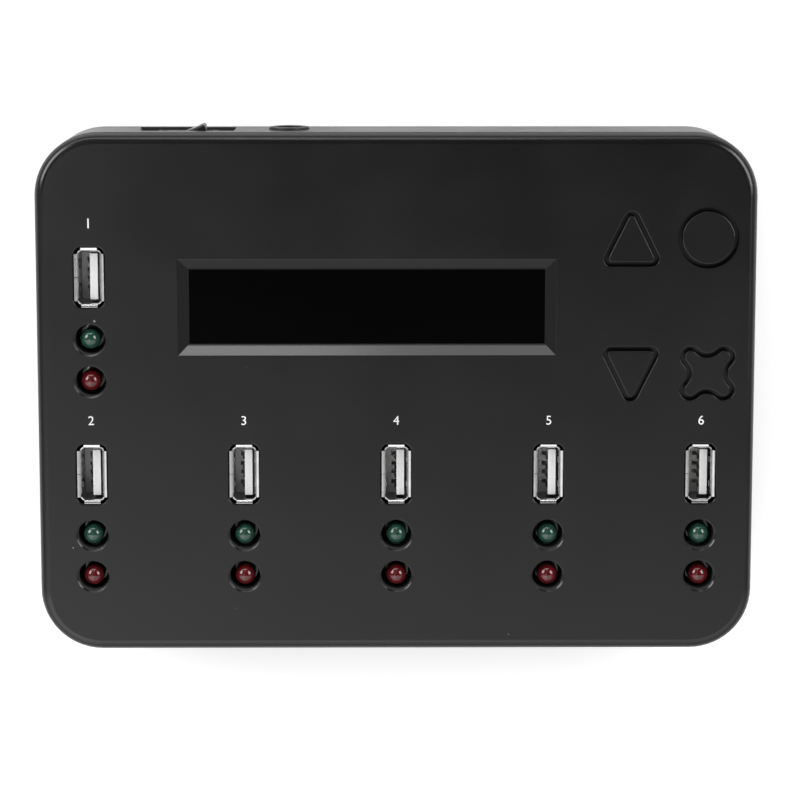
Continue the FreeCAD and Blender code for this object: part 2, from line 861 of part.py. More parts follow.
def button_cap(button):
    """A cap flush with the face, with a retaining flange and a stem onto its switch."""
    x, y = button["place"]
    stem_x, stem_y = stem_place(button)
    outline = button["outline"]
    flange_bottom = button_flange_top - button_flange_thickness
    cap = rise(outline(x, y, -button_gap, flange_bottom), face_height)
    cap = cap.makeFillet(button_cap_edge, flat_edges(cap, face_height))
    flange = rise(outline(x, y, button_flange, flange_bottom), button_flange_top)
    ring = cylinder(stem_x, stem_y, button_ring_radius, flange_bottom, button_ring_top)
    ring = ring.cut(cylinder(stem_x, stem_y, button_stem_radius, flange_bottom, button_ring_top))
    stem = cylinder(stem_x, stem_y, button_stem_radius, plunger_top, flange_bottom + root_overlap)
    return cap.fuse([flange, stem]).cut(ring).removeSplitter()


def switch_leg_places(x, y):
    return [
        (x + a * switch_leg_row, y + b * switch_leg_column) for a in (-1, 1) for b in (-1, 1)
    ]


def switch_body(x, y):
    """A square switch body with a bore for its plunger and four legs through the board."""
    top = board_top + switch_height
    body = block(x, y, switch_size, switch_size, board_top, top)
    bore = cylinder(x, y, plunger_radius + plunger_clearance, top - switch_bore_depth, top)
    z0, z1 = board_top + switch_leg_thickness, board_top + 2 * switch_leg_thickness
    legs = []
    for leg_x, leg_y in switch_leg_places(x, y):
        legs.append(
            block(leg_x, leg_y, switch_leg_thickness, switch_leg_width, board_bottom - lead_tail, z1)
        )
        legs.append(block((x + leg_x) / 2, leg_y, abs(leg_x - x), switch_leg_width, z0, z1))
    return body.fuse(legs).cut(bore).removeSplitter()


def plunger(x, y):
    return cylinder(x, y, plunger_radius, plunger_bottom, plunger_top)


def along_wall(x, z, width, height, y0, y1):
    """A block centred at x, z that runs from y0 to y1."""
    return box(x - width / 2, x + width / 2, y0, y1, z - height / 2, z + height / 2)


def rocker_housing():
    """The snap-in switch frame: bezel in the recess, body behind the wall."""
    floor = rear_wall - recess_depth
    face = floor + rocker_bezel_thickness
    back = floor - rocker_body_depth
    bezel = along_wall(rocker_x, inlet_height, rocker_bezel_width, rocker_bezel_height, floor, face)
    front_edges = [edge for edge in bezel.Edges if edge.BoundBox.YMin > face - edge_find_slack]
    bezel = bezel.makeFillet(rocker_bezel_edge, front_edges)
    body = along_wall(
        rocker_x, inlet_height, rocker_body_width, rocker_body_height, back, floor + root_overlap,
    )
    cavity = along_wall(
        rocker_x, inlet_height, rocker_cavity_width, rocker_cavity_height, floor - rocker_cavity_depth, face,
    )
    pivot = Part.makeCylinder(
        pivot_radius + pivot_clearance, rocker_body_height,
        vec(rocker_x, pivot_y(), inlet_height - rocker_body_height / 2),
    )
    slots = [
        along_wall(x, inlet_height, terminal_width, terminal_height, back, floor - rocker_cavity_depth)
        for x in terminal_places()
    ]
    return bezel.fuse(body).cut([cavity, pivot] + slots).removeSplitter()


def pivot_y():
    """How far out the rocker turns; its flat half then lies just below the wall's face."""
    return rear_wall - paddle_face_below_wall - paddle_pivot_depth * math.cos(math.radians(paddle_lean))


def power_rocker():
    """The two-faced rocker with its stub pins, leaning with its +X half raised."""
    rise_at_end = paddle_half_width * math.tan(math.radians(paddle_lean))
    top = paddle_pivot_depth + rise_at_end
    side_foot = top - paddle_side_depth
    half = paddle_half_width
    profile = [
        (-half, top), (-half, side_foot), (-paddle_heel_width, -paddle_heel_depth),
        (paddle_heel_width, -paddle_heel_depth), (half, side_foot), (half, top), (0, paddle_pivot_depth),
    ]
    z0 = inlet_height - paddle_height / 2
    points = [vec(rocker_x + x, pivot_y() + y, z0) for x, y in profile]
    paddle = polygon_prism(points, vec(0, 0, paddle_height))
    face_line = pivot_y() + paddle_pivot_depth - edge_find_slack
    rims = [
        edge for edge in paddle.Edges
        if edge.BoundBox.YMin > face_line and abs(edge.CenterOfMass.x - rocker_x) > edge_find_slack
    ]
    paddle = paddle.makeFillet(paddle_edge_radius, rims)
    pin = cylinder(rocker_x, pivot_y(), pivot_radius, inlet_height - pivot_reach, inlet_height + pivot_reach)
    whole = paddle.fuse(pin).removeSplitter()
    whole.rotate(vec(rocker_x, pivot_y(), inlet_height), vec(0, 0, 1), paddle_lean)
    return whole


def terminal_places():
    return [rocker_x - terminal_offset, rocker_x + terminal_offset]


def terminal_tip():
    return rear_wall - recess_depth - rocker_body_depth - terminal_length


def rocker_terminal(x):
    root = rear_wall - recess_depth - rocker_cavity_depth + terminal_root
    return along_wall(x, inlet_height, terminal_width, terminal_height, terminal_tip(), root)


def power_wire(x):
    """A lead from a switch terminal forwards and up to the board."""
    start = vec(x, terminal_tip(), inlet_height)
    bend_start = start + vec(0, -wire_start_run, 0)
    bend_middle = bend_start + vec(
        0, -wire_bend_radius * math.sqrt(0.5), wire_bend_radius * (1 - math.sqrt(0.5)),
    )
    bend_end = bend_start + vec(0, -wire_bend_radius, wire_bend_radius)
    end = vec(x, bend_end.y, board_bottom)
    path = Part.Wire([
        Part.LineSegment(start, bend_start).toShape(),
        Part.Arc(bend_start, bend_middle, bend_end).toShape(),
        Part.LineSegment(bend_end, end).toShape(),
    ])
    section = Part.Wire([Part.makeCircle(wire_radius, start, vec(0, -1, 0))])
    tube = path.makePipeShell([section], True, False)
    share = tube.Volume / (math.pi * wire_radius ** 2 * path.Length)
    print("wire length", round(path.Length, 2), "bend", wire_bend_radius, "volume share", round(share, 4))
    return tube


def jack_front():
    return rear_wall + jack_nose_stand


def jack_spring_y():
    return jack_front() - jack_bore_depth + jack_spring_offset


def jack_back():
    return jack_front() - jack_nose_length - jack_body_length


def along_y(radius, y0, y1):
    """A cylinder on the jack's axis."""
    return Part.makeCylinder(radius, y1 - y0, vec(jack_x, y0, inlet_height), vec(0, 1, 0))


def spring_strip(z0, z1):
    half = jack_spring_width / 2
    y = jack_spring_y()
    return box(jack_x - half, jack_x + half, y - jack_spring_thickness, y, z0, z1)


def power_jack():
    """The barrel jack: a round nose in the wall opening and a square body under the board."""
    front, back = jack_front(), jack_back()
    nose_back = front - jack_nose_length
    nose = along_y(jack_nose_radius, nose_back - root_overlap, front)
    rim = [edge for edge in nose.Edges if edge.BoundBox.YMin > front - edge_find_slack]
    nose = nose.makeFillet(jack_rim_radius, rim)
    body = box(
        jack_x - jack_body_width / 2, jack_x + jack_body_width / 2, back, nose_back,
        inlet_height - jack_body_drop, board_bottom,
    )
    bore = along_y(jack_bore_radius, front - jack_bore_depth, front)
    pin_seat = along_y(jack_pin_shank_radius, back, front)
    return nose.fuse(body).cut([bore, pin_seat, spring_strip(inlet_height, board_bottom)]).removeSplitter()


def jack_contacts():
    """The centre pin with its solder tail, and the sleeve spring."""
    front, back = jack_front(), jack_back()
    pin = along_y(jack_pin_radius, front - jack_bore_depth, front - jack_pin_tip)
    tip = [edge for edge in pin.Edges if edge.BoundBox.YMin > front - jack_pin_tip - edge_find_slack]
    pin = pin.makeFillet(jack_pin_tip_radius, tip)
    shank = along_y(jack_pin_shank_radius, back - jack_tail_thickness, front - jack_bore_depth + root_overlap)
    tail = box(
        jack_x - jack_spring_width / 2, jack_x + jack_spring_width / 2, back - jack_tail_thickness, back,
        inlet_height - jack_pin_radius, board_top + lead_tail,
    )
    spring = spring_strip(inlet_height + jack_bore_radius - jack_spring_reach, board_top + lead_tail)
    return [pin.fuse([shank, tail]).removeSplitter(), spring]


def jack_slot_places():
    tail_y = jack_back() - jack_tail_thickness / 2
    return [(jack_x, tail_y), (jack_x, jack_spring_y() - jack_spring_thickness / 2)]


def board_outline_cuts():
    """The corner notches round the screw posts, and the rear notch for the switch."""
    z0, z1 = board_bottom, board_top
    notch_x = board_width / 2 - board_corner_notch_x
    notch_y = board_depth / 2 - board_corner_notch_y
    cuts = []
    for side_x in (-1, 1):
        for side_y in (-1, 1):
            x = side_x * (board_corner_notch_x + notch_x / 2)
            y = side_y * (board_corner_notch_y + notch_y / 2)
            cuts.append(block(x, y, notch_x, notch_y, z0, z1))
    left, right = rocker_x - board_notch_half_width, rocker_x + board_notch_half_width
    cuts.append(box(left, right, board_notch_front, board_depth / 2, z0, z1))
    return cuts


def socket_lead_holes(x, y):
    z0, z1 = board_bottom, board_top
    holes = [cylinder(x + contact_x(), y + row, contact_hole_radius, z0, z1) for row in contact_rows]
    slot_width, slot_length = shell_sheet + 2 * slot_slack, shell_tab_width + 2 * slot_slack
    for side in (-1, 1):
        slot_y = y + side * (shell_length / 2 - shell_sheet / 2)
        holes.append(block(x, slot_y, slot_length, slot_width, z0, z1))
    return holes


def main_board():
    """The main board with its notches and every lead hole."""
    z0, z1 = board_bottom, board_top
    cuts = board_outline_cuts()
    for x, y in ports:
        cuts += socket_lead_holes(x, y)
    for x, y in green_places + red_places:
        cuts += lamp_leads(x, y, z0, z1)
    for button in buttons.values():
        for x, y in switch_leg_places(*stem_place(button)):
            cuts.append(cylinder(x, y, lead_hole_radius, z0, z1))
    cuts += [cylinder(x, y, lead_hole_radius, z0, z1) for x, y in header_places]
    cuts += [cylinder(x, y, small_pass_radius, z0, z1) for x, y in board_screw_places]
    slot_width = jack_tail_thickness + slot_slack
    cuts += [block(x, y, jack_spring_width + slot_slack, slot_width, z0, z1) for x, y in jack_slot_places()]
    return block(0, 0, board_width, board_depth, z0, z1).cut(cuts)


def chip(x, y, width, depth, height):
    """A chip on top of the board, with the dimple that marks its first lead."""
    top = board_top + height
    mark_x, mark_y = x - width / 2 + chip_mark_inset, y + depth / 2 - chip_mark_inset
    mark = cylinder(mark_x, mark_y, chip_mark_radius, top - chip_mark_depth, top)
    return block(x, y, width, depth, board_top, top).cut(mark)


def under_board(x, y, width, depth, height):
    return block(x, y, width, depth, board_bottom - height, board_bottom)


def clock_crystal():
    x, y = crystal_place
    end_radius = (crystal_width - crystal_end_flat) / 2
    bottom = board_bottom - crystal_height
    return rounded_block(x, y, crystal_length, crystal_width, end_radius, bottom, board_bottom)


def capacitor(x, y):
    """A can capacitor on its square base, hanging under the board."""
    base = under_board(x, y, capacitor_base_size, capacitor_base_size, capacitor_base_height)
    bottom = board_bottom - capacitor_height
    can = cylinder(x, y, capacitor_radius, bottom, board_bottom - capacitor_base_height)
    can = can.makeFillet(capacitor_edge_radius, flat_edges(can, bottom))
    return base.fuse(can)


def save_housing():
    save("top_cover", [top_cover()])
    save("bottom_cover", [bottom_cover()])
    save("display_window", [display_window()])
    save("rubber_feet", [rubber_foot(x, y) for x, y in foot_places])
    save("cover_screws", [cover_screw(x, y) for x, y in closing_screw_places])
    on_board = [small_screw(x, y, board_bottom) for x, y in board_screw_places]
    on_display = [small_screw(x, y, display_board_bottom) for x, y in display_screw_places]
    save("small_screws", on_board + on_display)


def save_display():
    save("display_glass", [display_glass()])
    save("display_backlight", [display_backlight()])
    save("display_frame", [display_frame()])
    save("display_board", [display_board()])
    save("display_header", [header_strip()])
    save("display_header_pins", [header_pin(x, y) for x, y in header_places])


def save_board():
    save("main_board", [main_board()])
    save("controller_chip", [chip(*controller_place, controller_size, controller_size, controller_height)])
    save("memory_chip", [chip(*memory_place, memory_width, memory_depth, memory_height)])
    port_chips = []
    for column in port_columns:
        port_chips.append(
            under_board(column, port_chip_row, port_chip_width, port_chip_depth, port_chip_height)
        )
    save("port_chips", port_chips)
    save("clock_crystal", [clock_crystal()])
    save("power_coils", [under_board(x, y, coil_size, coil_size, coil_height) for x, y in coil_places])
    save("capacitors", [capacitor(x, y) for x, y in capacitor_places])


def save_ports():
    """The six sockets with their lamps; port 1 is the source port."""
    shell, insulator = usb_shell(), usb_insulator()
    contacts = [usb_contact(row) for row in contact_rows]
    for number, (x, y) in enumerate(ports, 1):
        save("usb_shell_" + str(number), [moved(shell, x, y)])
        save("usb_insulator_" + str(number), [moved(insulator, x, y)])
        save("green_lamp_" + str(number), [lamp(*green_places[number - 1])])
        save("red_lamp_" + str(number), [lamp(*red_places[number - 1])])
    save("usb_contacts", [moved(contact, x, y) for x, y in ports for contact in contacts])
    z0, z1 = board_bottom - lead_tail, lamp_tip - lamp_length
    save("lamp_leads", [lead for x, y in green_places + red_places for lead in lamp_leads(x, y, z0, z1)])


def save_buttons():
    for name, button in buttons.items():
        save(name, [button_cap(button)])
        save(name.replace("button", "switch_plunger"), [plunger(*stem_place(button))])
    save("button_switches", [switch_body(*stem_place(button)) for button in buttons.values()])


def save_power_inlet():
    save("rocker_housing", [rocker_housing()])
    save("power_rocker", [power_rocker()])
    save("rocker_terminals", [rocker_terminal(x) for x in terminal_places()])
    save("power_wires", [power_wire(x) for x in terminal_places()])
    save("power_jack", [power_jack()])
    save("power_jack_contacts", jack_contacts())


os.makedirs("parts", exist_ok=True)
save_housing()
save_display()
save_board()
save_ports()
save_buttons()
save_power_inlet()
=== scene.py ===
"""The looks of a flash drive duplicator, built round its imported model. Lengths are in metres."""

import math

import bpy
from mathutils import Matrix, Vector


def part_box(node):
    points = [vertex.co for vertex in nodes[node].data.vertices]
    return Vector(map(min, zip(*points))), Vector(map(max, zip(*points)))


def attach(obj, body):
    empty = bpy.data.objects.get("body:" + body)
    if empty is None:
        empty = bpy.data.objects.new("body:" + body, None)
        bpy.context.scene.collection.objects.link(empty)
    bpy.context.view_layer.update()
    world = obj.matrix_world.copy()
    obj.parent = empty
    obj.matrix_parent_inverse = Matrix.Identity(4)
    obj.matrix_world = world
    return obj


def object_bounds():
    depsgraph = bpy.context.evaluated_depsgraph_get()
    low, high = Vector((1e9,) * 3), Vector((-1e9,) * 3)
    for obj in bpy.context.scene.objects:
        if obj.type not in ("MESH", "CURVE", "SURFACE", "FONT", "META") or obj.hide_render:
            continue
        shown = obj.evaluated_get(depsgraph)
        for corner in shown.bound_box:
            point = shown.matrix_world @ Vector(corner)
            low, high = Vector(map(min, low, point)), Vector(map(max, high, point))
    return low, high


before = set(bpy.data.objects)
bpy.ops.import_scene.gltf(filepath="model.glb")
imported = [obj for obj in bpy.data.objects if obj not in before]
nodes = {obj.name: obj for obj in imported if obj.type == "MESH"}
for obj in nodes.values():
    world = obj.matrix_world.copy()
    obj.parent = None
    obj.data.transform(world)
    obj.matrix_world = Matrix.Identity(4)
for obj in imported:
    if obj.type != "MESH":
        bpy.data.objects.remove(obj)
cad_low, cad_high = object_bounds()

millimetre = 0.001
port_count = 6

# Camera, fitted to the photograph's straight edges
camera_place = (-0.00539, 0.11825, 0.7724)
camera_turns = (("Z", 0.0010134), ("Y", 0.0083567), ("X", 0.1599305))
camera_lens = 139.63
camera_sensor = 36.0

# Printed numbers on the face, and the marks on the rocker
print_thickness = 0.00004
source_digit_height = 0.0024
target_digit_height = 0.0022
source_digit_y = 0.04156
target_digit_y = -0.0063
digit_height_share = 0.7
rocker_mark_height = 0.0024
rocker_mark_offset = 0.0027

# Solder under the main board
solder_reach = 0.0009
solder_foot_radius = 0.00085
solder_tip_radius = 0.0003
solder_height = 0.0008
solder_sides = 20

# Plastics: the cover's polished and etched areas, how wear and dust change a surface, and the painted
# light on the walls of the lamp wells
black = (0.0024, 0.0024, 0.0025)
dust_tone = (0.35, 0.34, 0.32, 1.0)
rubbed_share = 2.5
rubbed_gloss = 0.12
sheen_drift = 0.03
polished_roughness = 0.12
matte_depth = 0.0016
matte_fade = 0.0004
matte_roughness = 0.5
matte_shine = 0.18
plain_shine = 0.5
# Painted light: the next share makes the cover's colour much paler on the walls of the lamp wells,
# out to well_border round the lamps and from well_edge_depth below the face downwards
painted_light_share = 42.0
bevel_inset = 0.0004
bevel_rise = 0.0001
well_border = 0.002
well_edge_depth = 0.0006

# Socket shells, painted darker below their mouths: painted shade deep inside the sockets
painted_shade_share = 0.35
shell_mouth_depth = 0.0017

# Boards: solder mask, the copper that shows through it, and tinned pads
mask_tone = (0.004, 0.045, 0.018, 1.0)
track_tone = (0.012, 0.11, 0.045, 1.0)
pad_tone = (0.55, 0.54, 0.5, 1.0)
track_rings = 2.6
track_share = 0.32
pad_reach = 0.13

# Character display: its cells and their dots in millimetres, and how far the first cell stands
# from the glass's corner in metres
cell_size = (4.9, 8.2)
cell_gap = 0.35
dot_size = (0.82, 0.91)
dot_gap = 0.05
glass_tone = (0.035, 0.055, 0.03, 1.0)
dot_tone = (0.022, 0.037, 0.02, 1.0)
first_cell_offset = (0.0073, 0.0033)

# Floor
floor_reach = 6.0
floor_tone = (0.9, 0.9, 0.9, 1.0)
floor_glow = 0.31

# The room's light by direction: it fades from the first place to the second on its axis, and
# from the third value to the fourth
front_fade = (-0.37, -0.06, 1.5, 0.0)
left_fade = (-0.13, -0.07, 1.5, 1.0)
rise_fade = (0.3, 0.9, 0.45, 1.0)
overhead_fade = (0.4, 0.75, 0.0, 1.0)
left_glow_fade = (-0.09, 0.0, 0.17, 0.0)
rear_glow_fade = (0.0, 0.25, 0.0, 0.15)
horizon_fade = (0.3, 0.55, 0.46, 0.0)

# Lamps: turn from the front towards +X and rise, both in degrees, width, height and brightness
lamp_distance = 1.35
lamps = {
    "left_box": (-119, 35, 0.78, 0.52, 7.0),
    "right_box": (113, 40, 0.78, 0.52, 7.0),
    "rear_strip": (191, 25, 1.6, 0.16, 2.8),
    "rear_left_strip": (199, 25, 0.8, 0.16, 2.4),
    "rear_box": (180, 37, 0.22, 0.12, 8.0),
    "top_box": (-90, 76, 0.09, 0.09, 7.0),
}


# Shader nodes


def feed(tree, socket, value):
    """Give an input its value, which is a constant or another node's output."""
    if isinstance(value, bpy.types.NodeSocket):
        tree.links.new(value, socket)
    else:
        socket.default_value = value


def add_node(tree, kind, inputs=None, **settings):
    """A node with its settings and its inputs, each a value or another node's output."""
    made = tree.nodes.new(kind)
    for name, value in settings.items():
        setattr(made, name, value)
    for name, value in (inputs or {}).items():
        feed(tree, made.inputs[name], value)
    return made


def calculate(tree, operation, first, second=0.0):
    made = tree.nodes.new("ShaderNodeMath")
    made.operation = operation
    for socket, value in zip(made.inputs, (first, second)):
        feed(tree, socket, value)
    return made.outputs[0]


def span(tree, value, low, high, to_low=0.0, to_high=1.0):
    """The value carried from one range to another, held at the ends."""
    made = add_node(
        tree, "ShaderNodeMapRange",
        {"Value": value, "From Min": low, "From Max": high, "To Min": to_low, "To Max": to_high},
    )
    return made.outputs["Result"]


def blend_colours(tree, share, first, second):
    made = tree.nodes.new("ShaderNodeMix")
    made.data_type = "RGBA"
    for name, value in (("Factor_Float", share), ("A_Color", first), ("B_Color", second)):
        feed(tree, next(s for s in made.inputs if s.identifier == name), value)
    return next(s for s in made.outputs if s.identifier == "Result_Color")


def object_point(tree):
    return tree.nodes.new("ShaderNodeTexCoord").outputs["Object"]


def axes_of(tree, vector):
    return add_node(tree, "ShaderNodeSeparateXYZ", {"Vector": vector}).outputs


def surface_normal(tree):
    return tree.nodes.new("ShaderNodeNewGeometry").outputs["Normal"]


def effect_group(name, inputs, outputs):
    """A shader node group whose inputs and outputs are plain numbers."""
    tree = bpy.data.node_groups.new(name, "ShaderNodeTree")
    for label, value in inputs.items():
        socket = tree.interface.new_socket(
            name=label, in_out="INPUT", socket_type="NodeSocketFloat",
        )
        socket.default_value = value
    for label in outputs:
        tree.interface.new_socket(name=label, in_out="OUTPUT", socket_type="NodeSocketFloat")
    return tree, tree.nodes.new("NodeGroupInput").outputs, tree.nodes.new("NodeGroupOutput").inputs


# Effects that several finishes share


def make_spark_grain():
    """The fine even texture of a spark-eroded mould, with slow drifts in its sheen."""
    tree, given, out = effect_group("spark_grain", {"Scale": 3000.0}, ["Height", "Drift"])
    point = object_point(tree)
    fine = add_node(
        tree, "ShaderNodeTexNoise", {"Vector": point, "Scale": given["Scale"], "Detail": 2.0},
    )
    slow = add_node(tree, "ShaderNodeTexNoise", {"Vector": point, "Scale": 45.0, "Detail": 3.0})
    tree.links.new(fine.outputs["Fac"], out["Height"])
    tree.links.new(slow.outputs["Fac"], out["Drift"])
    return tree


def make_dust_specks():
    """Sparse pale specks that lie on surfaces that face upwards."""
    tree, given, out = effect_group(
        "dust_specks", {"Cells": 330.0, "Share": 0.06, "Reach": 0.09}, ["Mask"],
    )
    cells = add_node(
        tree, "ShaderNodeTexVoronoi", {"Vector": object_point(tree), "Scale": given["Cells"]},
    )
    colour = add_node(tree, "ShaderNodeSeparateColor", {"Color": cells.outputs["Color"]})
    chosen = calculate(tree, "LESS_THAN", colour.outputs["Red"], given["Share"])
    reach = calculate(tree, "MULTIPLY", given["Reach"], colour.outputs["Green"])
    near = calculate(tree, "LESS_THAN", cells.outputs["Distance"], reach)
    flat = calculate(tree, "GREATER_THAN", axes_of(tree, surface_normal(tree))["Z"], 0.9)
    mask = calculate(tree, "MULTIPLY", calculate(tree, "MULTIPLY", chosen, near), flat)
    tree.links.new(mask, out["Mask"])
    return tree


def make_edge_rub():
    """Edges rubbed a little smoother and paler, broken up along their length."""
    tree, given, out = effect_group("edge_rub", {"Radius": 0.0004, "Break": 900.0}, ["Mask"])
    rounded = add_node(tree, "ShaderNodeBevel", {"Radius": given["Radius"]}, samples=4)
    lean = add_node(
        tree, "ShaderNodeVectorMath", {0: rounded.outputs["Normal"], 1: surface_normal(tree)},
        operation="DOT_PRODUCT",
    )
    edge = span(tree, lean.outputs["Value"], 0.995, 0.85)
    patches = add_node(
        tree, "ShaderNodeTexNoise",
        {"Vector": object_point(tree), "Scale": given["Break"], "Detail": 2.0},
    )
    broken = span(tree, patches.outputs["Fac"], 0.35, 0.65)
    tree.links.new(calculate(tree, "MULTIPLY", edge, broken), out["Mask"])
    return tree


def make_wipe_marks():
    """Faint wiping marks and finger haze on polished surfaces."""
    tree, given, out = effect_group("wipe_marks", {"Scale": 60.0}, ["Haze"])
    point = object_point(tree)
    stretched = add_node(tree, "ShaderNodeMapping", {"Vector": point, "Scale": (0.25, 1.0, 1.0)})
    marks = add_node(
        tree, "ShaderNodeTexNoise",
        {
            "Vector": stretched.outputs["Vector"], "Scale": given["Scale"], "Detail": 4.0,
            "Distortion": 0.8,
        },
    )
    tree.links.new(span(tree, marks.outputs["Fac"], 0.45, 0.75), out["Haze"])
    return tree


def make_drawn_streaks():
    """Long fine streaks along Z, as drawn and rolled sheet metal has."""
    tree, given, out = effect_group(
        "drawn_streaks", {"Scale": 4000.0, "Squeeze": 0.04}, ["Height", "Drift"],
    )
    point = object_point(tree)
    squeeze = add_node(tree, "ShaderNodeCombineXYZ", {"X": 1.0, "Y": 1.0, "Z": given["Squeeze"]})
    stretched = add_node(
        tree, "ShaderNodeMapping", {"Vector": point, "Scale": squeeze.outputs["Vector"]},
    )
    streaks = add_node(
        tree, "ShaderNodeTexNoise",
        {"Vector": stretched.outputs["Vector"], "Scale": given["Scale"], "Detail": 3.0},
    )
    slow = add_node(tree, "ShaderNodeTexNoise", {"Vector": point, "Scale": 350.0, "Detail": 3.0})
    tree.links.new(streaks.outputs["Fac"], out["Height"])
    tree.links.new(slow.outputs["Fac"], out["Drift"])
    return tree


def make_board_tracks():
    """Copper tracks and round pads that show through a board's solder mask."""
    tree, given, out = effect_group(
        "board_tracks", {"Tracks": 420.0, "Pads": 210.0}, ["Track", "Pad"],
    )
    point = object_point(tree)
    cells = add_node(
        tree, "ShaderNodeTexVoronoi",
        {"Vector": point, "Scale": given["Tracks"], "Randomness": 0.75},
        distance="MANHATTAN", feature="F1",
    )
    rings = calculate(tree, "MULTIPLY", cells.outputs["Distance"], track_rings)
    track = calculate(tree, "LESS_THAN", calculate(tree, "FRACT", rings), track_share)
    dots = add_node(tree, "ShaderNodeTexVoronoi", {"Vector": point, "Scale": given["Pads"]})
    tree.links.new(track, out["Track"])
    tree.links.new(calculate(tree, "LESS_THAN", dots.outputs["Distance"], pad_reach), out["Pad"])
    return tree


effects = {
    "spark_grain": make_spark_grain(),
    "dust_specks": make_dust_specks(),
    "edge_rub": make_edge_rub(),
    "wipe_marks": make_wipe_marks(),
    "drawn_streaks": make_drawn_streaks(),
    "board_tracks": make_board_tracks(),
}


def effect(tree, name, **values):
    made = tree.nodes.new("ShaderNodeGroup")
    made.node_tree = effects[name]
    for label, value in values.items():
        made.inputs[label].default_value = value
    return made.outputs


# Finishes


def start_material(name, **plain):
    """An empty finish: its material, its tree and its Principled shader with plain values set."""
    material = bpy.data.materials.new(name)
    material.use_nodes = True
    tree = material.node_tree
    shader = tree.nodes["Principled BSDF"]
    for label, value in plain.items():
        shader.inputs[label.replace("_", " ")].default_value = value
    return material, tree, shader


def opaque(colour, share=1.0):
    return (colour[0] * share, colour[1] * share, colour[2] * share, 1.0)


def bump(tree, shader, height, strength, distance):
    made = add_node(
        tree, "ShaderNodeBump", {"Height": height, "Strength": strength, "Distance": distance},
    )
    tree.links.new(made.outputs["Normal"], shader.inputs["Normal"])


def box_mask(tree, low, high):
    """One inside a box given by its two corners and nought outside it."""
    place = axes_of(tree, object_point(tree))
    inside = 1.0
    for axis, start, end in zip("XYZ", low, high):
        above = calculate(tree, "GREATER_THAN", place[axis], start)
        below = calculate(tree, "LESS_THAN", place[axis], end)
        inside = calculate(tree, "MULTIPLY", calculate(tree, "MULTIPLY", above, below), inside)
    return inside


def moulded_plastic(
    name, colour, roughness, grain=3000.0, depth=0.000008, dust=0.0, rub=0.25, polished=None,
    painted_light_boxes=(), matte_below=None,
):
    """Matte moulded plastic: spark grain, drifting sheen, rubbed edges and a little dust.

    polished gives the corners of a box in which the mould was polished, so that it has no grain;
    the argument after it gives those of boxes in which the colour is made much paler, as painted
    light on the walls of the lamp wells; below the height matte_below the mould was etched coarser,
    so that the sides shine less.
    """
    material, tree, shader = start_material(name)
    texture = effect(tree, "spark_grain", Scale=grain)
    rubbed = effect(tree, "edge_rub")["Mask"]
    tone = blend_colours(
        tree, span(tree, texture["Drift"], 0.3, 0.7), opaque(colour, 0.9), opaque(colour, 1.1),
    )
    worn = calculate(tree, "MULTIPLY", rubbed, rub)
    tone = blend_colours(tree, worn, tone, opaque(colour, rubbed_share))
    # Painted light: the colour made much paler in the given boxes, on the walls of the lamp wells
    for corners in painted_light_boxes:
        tone = blend_colours(tree, box_mask(tree, *corners), tone, opaque(colour, painted_light_share))
    if dust:
        specks = calculate(tree, "MULTIPLY", effect(tree, "dust_specks")["Mask"], dust)
        tone = blend_colours(tree, specks, tone, dust_tone)
    tree.links.new(tone, shader.inputs["Base Color"])
    sheen = span(
        tree, texture["Drift"], 0.3, 0.7, roughness - sheen_drift, roughness + sheen_drift,
    )
    sheen = calculate(tree, "SUBTRACT", sheen, calculate(tree, "MULTIPLY", rubbed, rubbed_gloss))
    height = texture["Height"]
    if polished:
        grained = calculate(tree, "SUBTRACT", 1.0, box_mask(tree, *polished))
        sheen = span(tree, grained, 0.0, 1.0, polished_roughness, sheen)
        height = calculate(tree, "MULTIPLY", height, grained)
    if matte_below:
        height_above_rest = axes_of(tree, object_point(tree))["Z"]
        etched = span(tree, height_above_rest, matte_below - matte_fade, matte_below, 1.0, 0.0)
        sheen = span(tree, etched, 0.0, 1.0, sheen, matte_roughness)
        shine = span(tree, etched, 0.0, 1.0, plain_shine, matte_shine)
        tree.links.new(shine, shader.inputs["Specular IOR Level"])
    tree.links.new(sheen, shader.inputs["Roughness"])
    bump(tree, shader, height, strength=0.35, distance=depth)
    return material


def polished_plastic(name, colour, roughness, haze=0.12, **plain):
    """Polished plastic with faint wiping marks in its gloss."""
    material, tree, shader = start_material(name, **plain)
    marks = effect(tree, "wipe_marks")["Haze"]
    tone = blend_colours(tree, marks, opaque(colour), opaque(colour, 1.15))
    tree.links.new(tone, shader.inputs["Base Color"])
    sheen = calculate(tree, "ADD", calculate(tree, "MULTIPLY", marks, haze), roughness)
    tree.links.new(sheen, shader.inputs["Roughness"])
    return material


def sheet_metal(name, colour, roughness, tarnish=0.85, depth=0.000006, painted_shade_box=None):
    """Rolled or plated metal with fine streaks and a slight tarnish.

    The last argument gives the corners of a box in which the metal's colour is darkened: painted
    shade deep inside the sockets.
    """
    material, tree, shader = start_material(name, Metallic=1.0)
    streaks = effect(tree, "drawn_streaks")
    drift = span(tree, streaks["Drift"], 0.35, 0.65)
    tone = blend_colours(tree, drift, opaque(colour, tarnish), opaque(colour))
    # Painted shade: the colour darkened within the given box, deep inside the sockets
    if painted_shade_box:
        tone = blend_colours(tree, box_mask(tree, *painted_shade_box), tone, opaque(colour, painted_shade_share))
    tree.links.new(tone, shader.inputs["Base Color"])
    rough = span(tree, streaks["Height"], 0.25, 0.75, roughness - 0.06, roughness + 0.08)
    tree.links.new(rough, shader.inputs["Roughness"])
    bump(tree, shader, streaks["Height"], strength=0.3, distance=depth)
    return material


